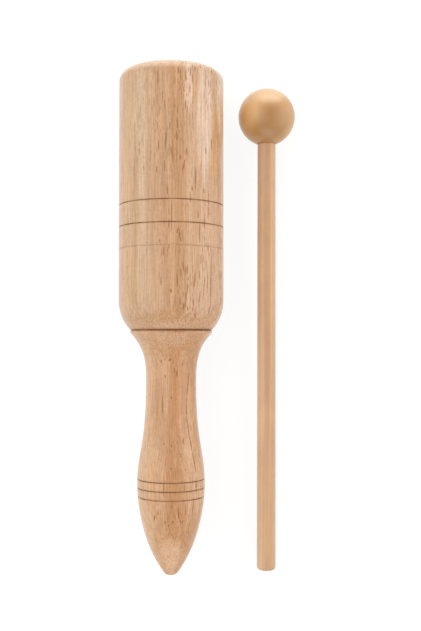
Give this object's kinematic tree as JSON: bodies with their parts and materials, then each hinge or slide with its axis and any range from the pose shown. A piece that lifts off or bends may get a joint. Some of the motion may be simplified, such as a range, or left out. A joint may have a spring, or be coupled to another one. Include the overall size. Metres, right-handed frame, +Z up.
{
  "type": "wooden agogo",
  "caption": "Turned wooden tone block: a hollow barrel with an open mouth, glued on a shaped handle and marked with burnt lines, with the ball-ended wooden beater that strikes it.",
  "frame": {"origin": "middle of the block and beater as they lie side by side, on the surface they lie on", "axes": "+Z up from the surface, +Y along the block towards its open mouth, +X from the block towards the beater"},
  "size_m": [0.0768, 0.218, 0.045],
  "materials": {
    "barrel_wood": "pale open-pored hardwood under clear semi-gloss lacquer, burnt lines",
    "handle_wood": "pale open-pored hardwood under clear semi-gloss lacquer, burnt lines",
    "beater_head_wood": "fine-grained hardwood, smooth satin",
    "beater_stick_wood": "fine-grained hardwood dowel, smooth satin"
  },
  "bodies": {
    "block": {"barrel": "barrel_wood", "handle": "handle_wood"},
    "beater": {"beater_head": "beater_head_wood", "beater_stick": "beater_stick_wood"}
  },
  "joints": [
    {"name": "beater_lift", "type": "slide", "parent": "block", "child": "beater", "axis": [0, 0, 1], "range_m": [0, 0.06]}
  ]
}
